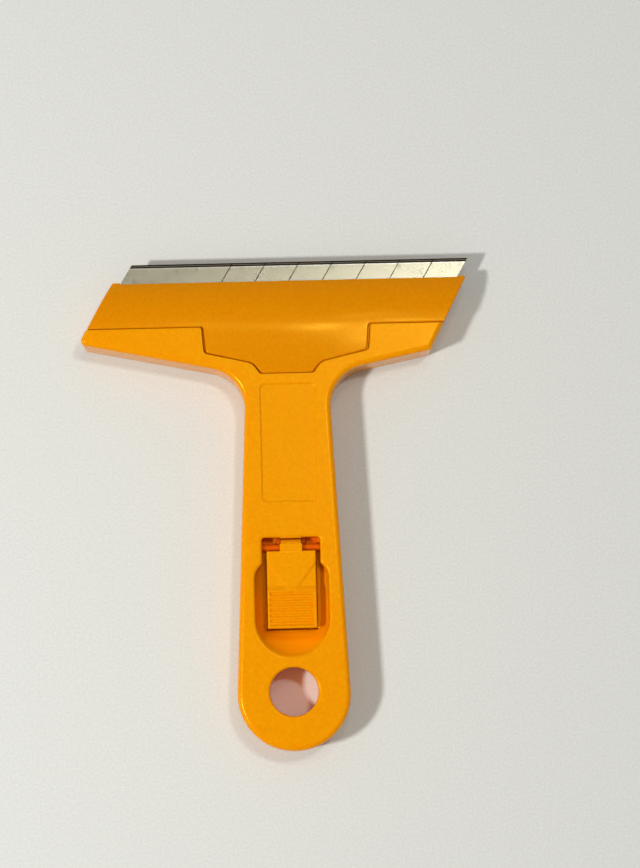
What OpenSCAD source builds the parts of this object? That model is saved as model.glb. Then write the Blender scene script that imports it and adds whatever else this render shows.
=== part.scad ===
// Hand scraper that clamps a snap-off blade between its handle and a pull-out head.
// Lies on its back: +Z is the front face, +Y runs from the hanging hole to the blade.

/* [Blade] */
// Length of the cutting edge
blade_len = 100; // [80:1:110]
// Width of the blade from edge to spine
blade_w = 18; // [16:0.5:19]
// Thickness of the blade
blade_t = 0.5; // [0.4:0.05:0.7]
// Slant of the blade's ends and score lines from square
blade_slant = 30; // [20:1:32]
// Distance between two score lines
segment_pitch = 10; // [8:0.5:12]
// Number of score lines
score_count = 7; // [4:1:7]
// Diameter of the hole in the blade's tang
blade_hole_d = 5.7; // [4:0.1:6]
// Width of the ground bevel
bevel_w = 1.2; // [0.8:0.1:2]
// Tilt of the blade, edge down
blade_tilt = 8; // [5:0.5:9]

/* [Overall] */
// Distance from the hanging hole to the cutting edge
reach = 127.4; // [122:0.5:140]
// Thickness of the handle
body_t = 15; // [15:0.25:18]
// Thickness of the outer walls
wall = 2; // [1.6:0.1:2.4]
// Rounding of the front edges
edge_r = 1.2; // [0.6:0.1:1.4]

/* [Handle] */
// Width of the handle at the hanging hole
grip_w = 33; // [31:0.5:36]
// Width of the handle where the neck starts
neck_w = 24.4; // [24:0.2:27]
// Diameter of the hanging hole
hang_d = 14.2; // [10:0.2:15]
// Radius of the inner corners between neck and wings
neck_r = 12; // [9:0.5:13]
// Length of the bare label panel
panel_len = 34.8; // [20:0.5:36]
// Width of the bare label panel
panel_w = 16.1; // [10:0.5:17]
// Depth of the bare label panel
panel_depth = 0.3; // [0.2:0.05:0.5]

/* [Head] */
// Strip of blade that stands out of the head
blade_show = 6; // [5:0.1:7]
// Distance from the blade's spine back to the wings
spine_back = 2.2; // [1.6:0.1:4]
// Thickness of the lip that presses on the blade
lip_t = 0.7; // [0.5:0.1:1]
// Width of the head between the two wings
waist_w = 49.8; // [44:0.2:52]
// Distance that the head's ends stand past the blade
end_wall = 2.6; // [2:0.1:3]
// Width of the arm that holds the head in the handle
arm_w = 12; // [9:0.5:13]
// Thickness of the arm
arm_t = 1.7; // [1.5:0.1:1.8]

/* [Release button] */
// Width of the button's pad
pad_w = 14.4; // [12:0.1:15]
// Length of the button's pad
pad_len = 22.6; // [20:0.1:23]
// Diameter of the button's axle
pin_d = 1.9; // [1.6:0.1:2.2]
// Width of the button's neck
button_neck_w = 6.4; // [5:0.1:8]
// Number of grip ribs
rib_count = 7; // [4:1:8]
// Distance between two grip ribs
rib_pitch = 1.62; // [1.4:0.02:1.7]

/* [Screws] */
// Diameter of the back screws
screw_d = 2.6; // [2:0.1:3]
// Length of the back screws
screw_len = 8; // [6:0.5:9]

/* [Hidden] */

plastic = [0.96, 0.6, 0.05];
plate_steel = [0.74, 0.73, 0.66];
dark_steel = [0.45, 0.45, 0.47];

$fn = 64;
// Largest turn of one facet where an outline is rounded
arc_step = 7.5;
edge_steps = 3;
// Overrun of the cuts
over = 1;

// Clearances
seam_gap = 0.15;
side_gap = 0.6;
curve_gap = 0.5;
bed_gap = 0.05;
pocket_gap = 0.15;
plate_gap = 0.15;
run_gap = 0.05;
seat_gap = 0.02;
guide_gap = 0.25;
latch_gap = 0.3;

// Blade plane: edge line, and heights over it
edge_z_share = 0.535;
edge_z = edge_z_share * body_t;
left_share = 0.4545;
edge_left_x = -left_share * blade_len;
edge_y = reach;
function plane_z(y, w) = edge_z + (edge_y - y) * tan(blade_tilt) + w / cos(blade_tilt);
tang_hole_share = [0.055, 0.483];
tang_hole_x = tang_hole_share.x * blade_len;
tang_hole_y = tang_hole_share.y * blade_w;
edge_flat = 0.08;
score_w = 0.15;
score_depth = 0.08;
tang_cut_len = 6.2;
tang_cut_w = 2.6;
tip_notch_w = 2.2;
tip_notch_depth = 1.3;

// Places along the handle, from the blade backwards
lip_y = edge_y - blade_show;
ear_proud = 0.5;
ear_y = lip_y + ear_proud;
seam_y = edge_y - blade_w * cos(blade_tilt) - spine_back;
head_depth = lip_y - seam_y;
// Depths of step, curve and tongue behind the seam, and of the crown and the wings' root
depth_share = [0.55, 0.23, 1.007, 0.24, 1.02];
step_y = seam_y - depth_share[0] * head_depth;
tongue_y = seam_y - depth_share[2] * head_depth;
bed_lip_back = 0.5;
bed_lip_y = lip_y - bed_lip_back;
side_share = 0.507;

// Ends of the blade at the lip, and the slanted ends of the head
blade_back = (edge_y - ear_y) / cos(blade_tilt) * tan(blade_slant);
left_top_x = edge_left_x - blade_back - end_wall;
right_top_x = edge_left_x + blade_len - blade_back + end_wall;
function left_x(y) = left_top_x - (ear_y - y) * side_share;
function right_x(y) = right_top_x - (ear_y - y) * side_share;

// Head outline between the wings
waist_half = waist_w / 2;
waist_taper = 0.6;
waist_low = waist_half - waist_taper;
ear_r = 0.6;
step_r = 1;
curve_r = 2;
tongue_r = 0.8;
half_share = [0.205, 0.159];
curve_out_x = half_share[0] * waist_w;
curve_out_y = step_y - depth_share[1] * head_depth;
tongue_half = half_share[1] * waist_w;
crown_y = seam_y - depth_share[3] * head_depth;
crown_run = lip_y - crown_y;
crown_drop = body_t - plane_z(lip_y, blade_t / 2) - lip_t;
crown_r = (pow(crown_run, 2) + pow(crown_drop, 2)) / (2 * crown_drop);
crown_steps = 16;

// Handle outline
grip_end_share = 0.521;
grip_end_y = -grip_end_share * grip_w;
neck_half = neck_w / 2;
wing_low_share = 0.205;
wing_low_y = seam_y - depth_share[4] * head_depth;
function wing_y(x) = wing_low_y + wing_low_share * (abs(x) - neck_half);
wing_proud = 0.45;
wing_corner_r = 1.6;
function grip_half(y) = grip_w / 2 - (grip_w - neck_w) / 2 * y / wing_low_y;
end_half = grip_half(grip_end_y);
end_r = end_half * tan(45 - atan((grip_w - neck_w) / 2 / wing_low_y) / 2) - seat_gap;
// Lower corners of the wings, where their ends meet their lower edges
corner_run = side_share * (seam_y - wing_low_y + wing_low_share * neck_half);
left_corner_x = -(wing_proud - left_x(seam_y) + corner_run) / (1 + side_share * wing_low_share);
right_corner_x = (right_x(seam_y) - corner_run) / (1 - side_share * wing_low_share);

// Back of the head: the shell slopes up to the bed's lip
bed_w = blade_t / 2 + bed_gap;
bed_lip_t = 0.4;
slope_share = 0.77;
slope_run = slope_share * head_depth;
slope_y = bed_lip_y - slope_run;
slope_rise = plane_z(bed_lip_y, -bed_w) - bed_lip_t;
slope_angle = atan2(slope_rise, slope_run);
bed_back_y = seam_y - wall;
bed_under_w = -bed_w - wall;
// Where the inner sides of slope and bed meet, and where the slope meets the back plate
inner_tip_y = (plane_z(0, bed_under_w) + slope_y * tan(slope_angle) - wall / cos(slope_angle))
    / (tan(slope_angle) + tan(blade_tilt));
inner_low_y = slope_y + (wall - wall / cos(slope_angle)) / tan(slope_angle);

// Heights inside the handle
front_in = body_t - wall;
arm_gap = 0.4;
arm_top = front_in - arm_gap;
arm_low = arm_top - arm_t;
arm_half = arm_w / 2;
ledge = 0.8;
plate_t = wall;

// Slot, dish and button
slot_gap = 1.2;
slot_half = pad_w / 2 + slot_gap;
// The pad's lower end, from the hanging hole
pad_y = 18.4;
slot_end_gap = 1.5;
slot_y = pad_y - slot_end_gap;
pad_top_y = pad_y + pad_len;
pin_r = pin_d / 2;
pin_back = 1.1;
pin_y = pad_top_y + pin_back;
hub_r = 2.45;
neck_sink = 0.45;
hub_gap = 0.3;
pin_z = body_t - hub_r - neck_sink;
slot_top_y = pin_y + hub_r + hub_gap;
slot_r = 0.9;
dish_side = 2.8;
dish_half = slot_half + dish_side;
dish_end_share = 1.48;
dish_y = slot_y + dish_end_share * dish_side;
dish_r = 5;
dish_depth = 3.73;
dish_mid = dish_half - sqrt(pow(dish_r, 2) - pow(dish_r - dish_depth, 2));
dish_z = body_t + dish_r - dish_depth;
dish_steps = 6;
// Half of the dish's section, from its flat floor up its curved side
dish_profile = concat([[0, dish_z - dish_r]],
    [for (i = [0 : dish_steps]) let (a = 90 * i / dish_steps)
        [dish_mid + dish_r * sin(a), dish_z - dish_r * cos(a)]],
    [[0, dish_z]]);
shoulder_len = 7.2;
shoulder_run = 5.3;
dish_top_y = slot_top_y - shoulder_len;
dish_wide_y = dish_top_y - shoulder_run;
shoulder_in_r = 3;
shoulder_out_r = 2;
block_t = 5.2;
block_low = body_t - block_t;
block_past = 1.4;
socket_depth = 2;
pin_len = 2 * (slot_half + socket_depth);

// Latch: a rib across the handle under the pad, and the spring's hook behind it
catch_back = 8;
catch_y = pin_y - catch_back;
catch_t = 2;
catch_h = 1.3;
catch_drop = 0.1;
catch_low = block_low - catch_drop;
catch_top = catch_low + catch_h;
hook_y = catch_y - latch_gap;
leaf_t = 0.4;
leaf_half = 4;
leaf_z = catch_low - latch_gap - leaf_t;
hook_top = catch_top - latch_gap;
hook_flat = 1.2;
hook_ramp = 4.2;
arm_back = 2.3;
arm_back_y = slot_top_y + arm_back;
leaf_bend = 1.6;
leaf_seat = 7;
rivet_in = 3.6;
rivet_y = arm_back_y + rivet_in;
rivet_r = 1.2;
rivet_head_r = 2;
rivet_head_t = 0.5;
press_gap = 0.2;
press_len = 1.8;
pad_t = 2.4;
pad_end_t = 3.6;
pad_low = body_t - pad_t;
pad_deep = body_t - pad_end_t;
arm_foot = 5;

// Rails that guide the arm under the front wall
rail_t = 1.6;
rail_lip = 1.3;
rail_back = 4;
rail_front = 1.2;
rail_y0 = arm_back_y + rail_back;
rail_y1 = tongue_y - rail_front;
rail_lip_t = 1;

// Screws and their bosses
screw_r = screw_d / 2;
boss_wall = 1.2;
boss_r = screw_r + boss_wall;
screw_head_over = 1;
screw_head_r = screw_r + screw_head_over;
screw_head_t = 1;
screw_sink = 0.1;
drive_w = 0.6;
drive_depth = 0.8;
wing_boss_share = 0.27;
wing_boss_x = waist_half + wing_boss_share * (right_corner_x - waist_half);
wing_boss_y = (wing_y(wing_boss_x) + wall + bed_back_y) / 2;
low_boss_up = 5;
boss_bite = 0.3;
low_boss_y = dish_y + low_boss_up;
low_boss_x = grip_half(low_boss_y) - wall - boss_r + boss_bite;
SCREWS = [[-wing_boss_x, wing_boss_y], [wing_boss_x, wing_boss_y],
    [-low_boss_x, low_boss_y], [low_boss_x, low_boss_y]];
tube_r = hang_d / 2 + wall;

// Label panel
panel_back = 3.1;
panel_top_y = tongue_y - panel_back;
panel_r = 1.5;

// Marks on the pad
groove_share = 0.485;
chevron_share = [0.29, 0.145];
chevron_w = 0.45;
mark_depth = 0.25;
groove_w = 1.3;
rib_h = 0.2;
rib_w = 0.8;

// Outline tools: corners are [x, y, radius], counter-clockwise, inset to the inside
function unit(v) = v / norm(v);
function at(list, i) = list[(i + len(list)) % len(list)];
function xy(c) = [c.x, c.y];
function inward(a, b) = let (u = unit(b - a)) [-u.y, u.x];
function moved(a, b, c, d) = let (m = inward(a, b), n = inward(b, c)) b + d * (m + n) / (1 + m * n);
function bend(a, b, c) = sign(cross(b - a, c - b));
function rounded(a, b, c, r) =
    let (u = unit(a - b), v = unit(c - b), half = acos(u * v) / 2, sweep = 180 - 2 * half,
        centre = b + unit(u + v) * r / sin(half), start = b + u * r / tan(half) - centre,
        from = atan2(start.y, start.x), turn = bend(a, b, c) * sweep, n = max(1, ceil(sweep / arc_step)))
    [for (i = [0 : n]) centre + r * [cos(from + turn * i / n), sin(from + turn * i / n)]];
function outline(corners, d = 0) =
    let (n = len(corners), raw = [for (c = corners) xy(c)],
        q = [for (i = [0 : n - 1]) moved(at(raw, i - 1), raw[i], at(raw, i + 1), d)])
    [for (i = [0 : n - 1])
        let (a = at(q, i - 1), b = q[i], c = at(q, i + 1), r = corners[i][2])
        each r == 0 ? [b] : rounded(a, b, c, max(r - bend(a, b, c) * d, r / 20))];

// Shell outline, handle end first
shell_corners = [
    [-end_half, grip_end_y, end_r], [end_half, grip_end_y, end_r],
    [neck_half, wing_low_y, neck_r],
    [right_corner_x, wing_y(right_corner_x), wing_corner_r / 2],
    [right_x(bed_lip_y), bed_lip_y, 0],
    [left_x(bed_lip_y) - wing_proud, bed_lip_y, 0],
    [left_corner_x, wing_y(left_corner_x), wing_corner_r],
    [-neck_half, wing_low_y, neck_r]];

// Head outline; side, end and curve clearances draw it in from the wings, past lets a cut run out
function head_corners(side, end, curve, past = 0) = [
    [right_x(ear_y + past) + past, ear_y + past, ear_r],
    [left_x(ear_y + past) - past, ear_y + past, ear_r],
    [left_x(seam_y + end) - past, seam_y + end, 0],
    [-waist_half + side, seam_y + end, 0],
    [-waist_low + side, step_y + end, step_r],
    [-curve_out_x + curve / 2, curve_out_y + end, curve_r],
    [-tongue_half + curve, tongue_y + end, tongue_r],
    [tongue_half - curve, tongue_y + end, tongue_r],
    [curve_out_x - curve / 2, curve_out_y + end, curve_r],
    [waist_low - side, step_y + end, step_r],
    [waist_half - side, seam_y + end, 0],
    [right_x(seam_y + end) + past, seam_y + end, 0]];

// Ring that rounds a slab's upper edge when it is cut off it
module edge_ring(corners, top, r) {
    arc = [for (i = [0 : edge_steps]) let (a = 90 * i / edge_steps) [r * (1 - cos(a)), r * (sin(a) - 1)]];
    low = arc[0] + 2 * (arc[0] - arc[1]);
    high = arc[edge_steps] + 2 * (arc[edge_steps] - arc[edge_steps - 1]);
    section = concat([[low.x, high.y], high], [for (i = [edge_steps - 1 : -1 : 1]) arc[i]], [low]);
    n = len(outline(corners));
    m = len(section);
    points = [for (s = section) each [for (p = outline(corners, s.x)) [p.x, p.y, top + s.y]]];
    polyhedron(points, [for (j = [0 : m - 1], i = [0 : n - 1]) let (k = (i + 1) % n, up = (j + 1) % m)
        [j * n + i, up * n + i, up * n + k, j * n + k]], convexity = 10);
}

// Prism along X from a profile of [y, z] points
module along_x(profile, x0, x1) {
    translate([x0, 0, 0]) rotate([90, 0, 90]) linear_extrude(x1 - x0) polygon(profile);
}

module box(low, high) {
    translate(low) cube(high - low);
}

module in_blade_plane() {
    translate([edge_left_x, edge_y, edge_z]) rotate([-blade_tilt, 0, 0]) children();
}

// Blade outline in its own plane: x along the edge, y negative towards the spine
function slanted(x, v) = [x - v * tan(blade_slant), -v];
function blade_outline(gap) = [
    slanted(-gap, -gap),
    slanted(-gap, blade_w + gap),
    slanted(blade_len + gap, blade_w + gap),
    slanted(blade_len + gap, -gap)];

module blade() {
    tip_v = blade_w - tip_notch_w;
    section = [[-edge_flat / 2, 0], [-blade_t / 2, -bevel_w], [-blade_t / 2, -blade_w],
        [blade_t / 2, -blade_w], [blade_t / 2, -bevel_w], [edge_flat / 2, 0]];
    color(plate_steel) in_blade_plane() difference() {
        intersection() {
            translate([-blade_len, 0, 0]) rotate([0, 90, 0])
                linear_extrude(3 * blade_len) polygon([for (p = section) [-p.x, p.y]]);
            translate([0, 0, -blade_t]) linear_extrude(2 * blade_t) polygon([
                slanted(0, 0),
                slanted(0, blade_w),
                slanted(blade_len - tip_notch_depth, blade_w),
                slanted(blade_len - tip_notch_depth, tip_v),
                slanted(blade_len, tip_v),
                slanted(blade_len, 0)]);
        }
        // Slant across the tang's spine corner
        translate([0, 0, -blade_t]) linear_extrude(2 * blade_t) polygon([
            slanted(0, blade_w - tang_cut_w),
            slanted(-over, blade_w + over),
            slanted(tang_cut_len, blade_w + over),
            slanted(tang_cut_len, blade_w)]);
        translate([tang_hole_x, -tang_hole_y, -blade_t]) cylinder(d = blade_hole_d, h = 2 * blade_t);
        for (i = [1 : score_count]) {
            translate([blade_len - i * segment_pitch, 0, blade_t / 2 - score_depth])
                rotate([0, 0, -blade_slant]) translate([-score_w / 2, -2 * blade_w, 0])
                    cube([score_w, 2 * blade_w - bevel_w, blade_t]);
        }
    }
}

module head_cover() {
    crown = [for (i = [0 : crown_steps])
        let (y = crown_y + crown_run * i / crown_steps)
        [y, body_t - crown_r + sqrt(pow(crown_r, 2) - pow(y - crown_y, 2))]];
    ear_top = plane_z(lip_y, blade_t / 2) + lip_t;
    join_y = edge_y - (arm_low - plane_z(edge_y, -blade_t / 2)) / tan(blade_tilt);
    side = concat(
        [[tongue_y, arm_low], [join_y, arm_low], [ear_y + over, plane_z(ear_y + over, -blade_t / 2)],
            [ear_y + over, ear_top - over * tan(blade_tilt)]],
        [for (i = [crown_steps : -1 : 0]) crown[i]],
        [[tongue_y, body_t]]);
    color(plastic) {
        difference() {
            union() {
                intersection() {
                    linear_extrude(body_t + over)
                        polygon(outline(head_corners(side_gap, seam_gap, curve_gap)));
                    along_x(side, left_x(tongue_y) - over, right_top_x + over);
                }
                box([-arm_half, arm_back_y, arm_low], [arm_half, tongue_y + arm_foot, arm_top]);
            }
            // Pocket that the blade lies in, open at the lip
            in_blade_plane() {
                translate([0, 0, -blade_t]) linear_extrude(1.5 * blade_t) polygon(blade_outline(pocket_gap));
                translate([0, 0, -blade_t]) linear_extrude(body_t) polygon([
                    slanted(-guide_gap, -over),
                    slanted(-guide_gap, blade_show / cos(blade_tilt)),
                    slanted(blade_len + guide_gap, blade_show / cos(blade_tilt)),
                    slanted(blade_len + guide_gap, -over)]);
            }
            translate([0, rivet_y, arm_low - over]) cylinder(r = rivet_r + seat_gap, h = arm_t + 2 * over);
            translate([0, rivet_y, arm_top - rivet_head_t])
                cylinder(r = rivet_head_r + seat_gap, h = rivet_head_t + over);
        }
        // Peg through the hole in the blade's tang
        in_blade_plane() translate([tang_hole_x, -tang_hole_y, -blade_t / 2])
            cylinder(d = blade_hole_d - 2 * pocket_gap, h = 1.5 * blade_t);
    }
}

module latch_rivet() {
    color(dark_steel) translate([0, rivet_y, 0]) {
        translate([0, 0, arm_low - leaf_t - rivet_head_t])
            cylinder(r = rivet_head_r, h = rivet_head_t);
        translate([0, 0, arm_low - leaf_t - rivet_head_t])
            cylinder(r = rivet_r, h = arm_top - arm_low + leaf_t + rivet_head_t);
        translate([0, 0, arm_top - rivet_head_t]) cylinder(r = rivet_head_r, h = rivet_head_t);
    }
}

module latch_spring() {
    seat_y = arm_back_y + leaf_seat;
    bend_y = arm_back_y - leaf_bend;
    upper = [[seat_y, arm_low], [arm_back_y, arm_low], [bend_y, leaf_z + leaf_t],
        [hook_y, leaf_z + leaf_t], [hook_y, hook_top], [hook_y - hook_flat, hook_top],
        [hook_y - hook_ramp, leaf_z + leaf_t]];
    lower = [[hook_y - hook_ramp, leaf_z], [hook_y - hook_flat, hook_top - leaf_t],
        [hook_y - leaf_t, hook_top - leaf_t], [hook_y - leaf_t, leaf_z], [bend_y, leaf_z],
        [arm_back_y, arm_low - leaf_t], [seat_y, arm_low - leaf_t]];
    color(dark_steel) difference() {
        along_x(concat(upper, lower), -leaf_half, leaf_half);
        translate([0, rivet_y, arm_low - leaf_t - over])
            cylinder(r = rivet_r + seat_gap, h = leaf_t + 2 * over);
    }
}

module dish() {
    intersection() {
        linear_extrude(body_t + over) polygon(outline([
            [-dish_half, dish_y - dish_half, dish_half - seat_gap],
            [dish_half, dish_y - dish_half, dish_half - seat_gap],
            [dish_half, dish_wide_y, shoulder_in_r],
            [slot_half, dish_top_y, shoulder_out_r],
            [slot_half, slot_top_y, 0],
            [-slot_half, slot_top_y, 0],
            [-slot_half, dish_top_y, shoulder_out_r],
            [-dish_half, dish_wide_y, shoulder_in_r]]));
        union() {
            translate([0, dish_y, 0]) rotate_extrude() polygon(dish_profile);
            for (s = [0, 1]) mirror([s, 0, 0]) translate([0, slot_top_y, 0]) rotate([90, 0, 0])
                linear_extrude(slot_top_y - dish_y) polygon(dish_profile);
        }
    }
}

module rail(s) {
    inner = arm_half + guide_gap;
    lip_top = arm_low - guide_gap;
    section = [[inner - rail_lip, lip_top], [inner - rail_lip, lip_top - rail_lip_t],
        [inner + rail_t, lip_top - rail_lip_t], [inner + rail_t, front_in + wall / 2],
        [inner, front_in + wall / 2], [inner, lip_top]];
    translate([0, rail_y1, 0]) rotate([90, 0, 0])
        linear_extrude(rail_y1 - rail_y0) polygon([for (p = section) [s * p.x, p.y]]);
}

module handle_shell() {
    cavity_side = [[grip_end_y, -over], [inner_low_y, -over], [inner_low_y, wall],
        [inner_tip_y, plane_z(inner_tip_y, bed_under_w)], [bed_back_y, plane_z(bed_back_y, bed_under_w)],
        [bed_back_y, front_in], [grip_end_y, front_in]];
    color(plastic) difference() {
        union() {
            difference() {
                linear_extrude(body_t) polygon(outline(shell_corners));
                edge_ring(shell_corners, body_t, edge_r);
                // Inside, open at the back
                intersection() {
                    translate([0, 0, -over]) linear_extrude(body_t + over)
                        polygon(outline(shell_corners, wall));
                    along_x(cavity_side, left_corner_x, right_top_x);
                }
                // Seat of the back plate
                intersection() {
                    translate([0, 0, -over]) linear_extrude(plate_t + over)
                        polygon(outline(shell_corners, wall - ledge));
                    box([left_corner_x, grip_end_y, -over], [right_top_x, inner_low_y, plate_t]);
                }
                // Slope up to the bed's lip
                along_x([[slope_y, 0], [slope_y, -over], [bed_lip_y + over, -over],
                    [bed_lip_y + over, slope_rise + over * tan(slope_angle)]],
                    left_corner_x - over, right_top_x + over);
            }
            cylinder(r = tube_r, h = body_t - wall / 2);
            intersection() {
                box([-grip_w / 2, tube_r - wall, block_low],
                    [grip_w / 2, slot_top_y + block_past, body_t - wall / 2]);
                linear_extrude(body_t) polygon(outline(shell_corners, wall / 2));
            }
            intersection() {
                box([-grip_w / 2, catch_y, catch_low], [grip_w / 2, catch_y + catch_t, catch_top]);
                linear_extrude(body_t) polygon(outline(shell_corners, wall / 2));
            }
            for (s = [-1, 1]) rail(s);
            for (p = SCREWS) translate([p.x, p.y, plate_t])
                cylinder(r = boss_r, h = body_t - plate_t - wall / 2);
        }
        // Bed of the blade and the opening that the head fills
        intersection() {
            linear_extrude(2 * body_t) polygon(outline(head_corners(0, 0, 0, over)));
            union() {
                in_blade_plane() translate([-blade_len, -2 * blade_w, -bed_w])
                    cube([3 * blade_len, 3 * blade_w, body_t]);
                box([-waist_half, tongue_y - over, arm_low - guide_gap],
                    [waist_half, bed_back_y, body_t + over]);
            }
        }
        in_blade_plane() translate([-blade_len, -blade_show - over, -bed_w])
            cube([3 * blade_len, blade_show + 2 * over, body_t]);
        // The left wing stands proud of the head's end, and the bed under it doesn't
        translate([0, 0, -over]) linear_extrude(2 * body_t) polygon([
            [left_x(seam_y), seam_y],
            [left_x(ear_y), ear_y],
            [left_corner_x, ear_y],
            [left_corner_x, seam_y]]);
        // Way for the spring over the bed
        box([-leaf_half - guide_gap, tongue_y, leaf_z - guide_gap], [leaf_half + guide_gap, edge_y, body_t]);
        // Way for the spring past the slot
        box([-leaf_half - guide_gap, slot_top_y - over, leaf_z - guide_gap],
            [leaf_half + guide_gap, slot_top_y + block_past + over, hook_top + guide_gap]);
        dish();
        translate([0, 0, block_low - over]) linear_extrude(body_t) polygon(outline([
            [-slot_half, slot_y, slot_r], [slot_half, slot_y, slot_r],
            [slot_half, slot_top_y, slot_r], [-slot_half, slot_top_y, slot_r]]));
        translate([-pin_len / 2, pin_y, pin_z]) rotate([0, 90, 0])
            cylinder(r = pin_r + seat_gap, h = pin_len);
        translate([0, 0, body_t - panel_depth]) linear_extrude(body_t) polygon(outline([
            [-panel_w / 2, panel_top_y - panel_len, panel_r],
            [panel_w / 2, panel_top_y - panel_len, panel_r],
            [panel_w / 2, panel_top_y, panel_r],
            [-panel_w / 2, panel_top_y, panel_r]]));
        translate([0, 0, -over]) cylinder(d = hang_d, h = body_t + 2 * over);
        for (p = SCREWS) translate([p.x, p.y, 0])
            cylinder(r = screw_r + seat_gap, h = screw_sink + screw_len + seat_gap);
    }
}

module back_plate() {
    color(plastic) difference() {
        intersection() {
            linear_extrude(plate_t) polygon(outline(shell_corners, wall - ledge + plate_gap));
            box([left_corner_x, grip_end_y, 0], [right_top_x, inner_low_y - plate_gap, plate_t]);
        }
        translate([0, 0, -over]) cylinder(r = tube_r + plate_gap, h = plate_t + 2 * over);
        for (p = SCREWS) translate([p.x, p.y, 0]) {
            translate([0, 0, -over]) cylinder(r = screw_r + plate_gap, h = plate_t + 2 * over);
            translate([0, 0, -over]) cylinder(r = screw_head_r + seat_gap, h = over + screw_sink);
            translate([0, 0, screw_sink])
                cylinder(r1 = screw_head_r + seat_gap, r2 = screw_r + seat_gap, h = screw_head_t);
        }
    }
}

module back_screw(i) {
    color(dark_steel) translate([SCREWS[i].x, SCREWS[i].y, screw_sink]) difference() {
        union() {
            cylinder(r1 = screw_head_r, r2 = screw_r, h = screw_head_t);
            cylinder(r = screw_r, h = screw_len);
        }
        for (a = [0, 90]) rotate([0, 0, a])
            translate([-screw_r, -drive_w / 2, -over]) cube([screw_d, drive_w, drive_depth + over]);
    }
}

module button_pin() {
    color(plastic) translate([-pin_len / 2, pin_y, pin_z]) rotate([0, 90, 0])
        cylinder(r = pin_r, h = pin_len);
}

module release_button() {
    half = pad_w / 2;
    press_y = hook_y - latch_gap - press_len;
    end_y = hook_y - hook_ramp - over;
    side = [[pad_y, pad_deep], [end_y, pad_deep], [end_y, pad_low], [press_y, pad_low],
        [press_y, hook_top + press_gap], [press_y + press_len, hook_top + press_gap],
        [press_y + press_len, pad_low], [pad_top_y, pad_low], [pad_top_y, body_t], [pad_y, body_t]];
    groove_y = pad_y + groove_share * pad_len;
    color(plastic) difference() {
        union() {
            along_x(side, -half, half);
            box([-button_neck_w / 2, pad_top_y - over, pin_z], [button_neck_w / 2, pin_y, pin_z + hub_r]);
            translate([-button_neck_w / 2, pin_y, pin_z]) rotate([0, 90, 0])
                cylinder(r = hub_r, h = button_neck_w);
        }
        translate([-half, pin_y, pin_z]) rotate([0, 90, 0]) cylinder(r = pin_r + run_gap, h = pad_w);
        // Groove above the ribs, and the field that the ribs stand in
        box([-half - over, groove_y, body_t - 2 * mark_depth],
            [half + over, groove_y + groove_w, body_t + over]);
        for (i = [0 : rib_count - 1]) {
            y = groove_y - rib_h - i * rib_pitch;
            box([-half + rib_w, y - rib_pitch + rib_w, body_t - mark_depth],
                [half - rib_w, y, body_t + over]);
        }
        // Chevron lines
        for (s = [-1, 1]) {
            from = [s * half, pad_top_y - chevron_share.y * pad_len];
            to = [s * chevron_share.x * half, groove_y + groove_w];
            across = chevron_w / 2 * unit([to.y - from.y, from.x - to.x]);
            translate([0, 0, body_t - mark_depth]) linear_extrude(over + mark_depth)
                polygon([from + across, to + across, to - across, from - across]);
        }
    }
}

handle_shell();
back_plate();
head_cover();
blade();
latch_spring();
latch_rivet();
release_button();
button_pin();
back_screw(0);  // back_screw_1
back_screw(1);  // back_screw_2
back_screw(2);  // back_screw_3
back_screw(3);  // back_screw_4
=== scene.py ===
import math

import bpy
import numpy as np
from mathutils import Matrix, Vector


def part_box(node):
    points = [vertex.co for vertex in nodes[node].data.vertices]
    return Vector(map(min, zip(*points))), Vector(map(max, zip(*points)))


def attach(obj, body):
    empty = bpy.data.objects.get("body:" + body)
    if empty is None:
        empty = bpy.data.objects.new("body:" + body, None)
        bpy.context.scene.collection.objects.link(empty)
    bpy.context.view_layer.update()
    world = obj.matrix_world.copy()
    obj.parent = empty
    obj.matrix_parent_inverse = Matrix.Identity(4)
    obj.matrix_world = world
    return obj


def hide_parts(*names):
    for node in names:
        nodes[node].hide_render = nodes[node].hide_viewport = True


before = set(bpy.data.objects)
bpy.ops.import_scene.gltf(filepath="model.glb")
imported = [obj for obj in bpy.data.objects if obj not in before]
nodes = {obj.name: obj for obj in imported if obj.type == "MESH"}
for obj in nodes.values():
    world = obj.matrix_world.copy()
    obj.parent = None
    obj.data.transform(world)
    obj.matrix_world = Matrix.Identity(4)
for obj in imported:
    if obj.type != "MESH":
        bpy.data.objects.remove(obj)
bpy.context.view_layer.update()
MM = 0.001

# Driving sizes in millimetres, as in the solids
BLADE = dict(length=100, width=18, thick=0.5, show=6, bevel=1.2, pitch=10, scores=7, hole=5.7)
SLANT = math.radians(30)
TILT = math.radians(8)
REACH = 127.4
THICK = 15
WALL = 2
EDGE_R = 1.6
GRIP_W = 33
NECK_W = 24.4
NECK_R = 12
WAIST_W = 49.8
END_WALL = 2.6
HOLE_R = 7.1
PAD = dict(half=7.2, low=18.4, high=41.0)

# Places worked out from them
EDGE_Z = 0.535 * THICK
EDGE_X = -0.4545 * BLADE["length"]
LIP_Y = REACH - BLADE["show"]
EAR_Y = LIP_Y + 0.5
SEAM_Y = REACH - BLADE["width"] * math.cos(TILT) - 2.2
HEAD = LIP_Y - SEAM_Y
STEP_Y = SEAM_Y - 0.55 * HEAD
CURVE_Y = STEP_Y - 0.23 * HEAD
TONGUE_Y = SEAM_Y - 1.007 * HEAD
CROWN_Y = SEAM_Y - 0.25 * HEAD
WING_Y = SEAM_Y - 1.02 * HEAD
BED_LIP_Y = LIP_Y - 0.5
SIDE_SLOPE = 0.507
WING_SLOPE = 0.205
BLADE_BACK = (REACH - EAR_Y) / math.cos(TILT) * math.tan(SLANT)
BLADE_HALF = BLADE["thick"] / 2
BED_W = -0.3
LIP_T = 0.7
LEFT_STEP = 0.45
FRONT_IN = THICK - WALL
ARM_TOP = FRONT_IN - 0.4
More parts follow.
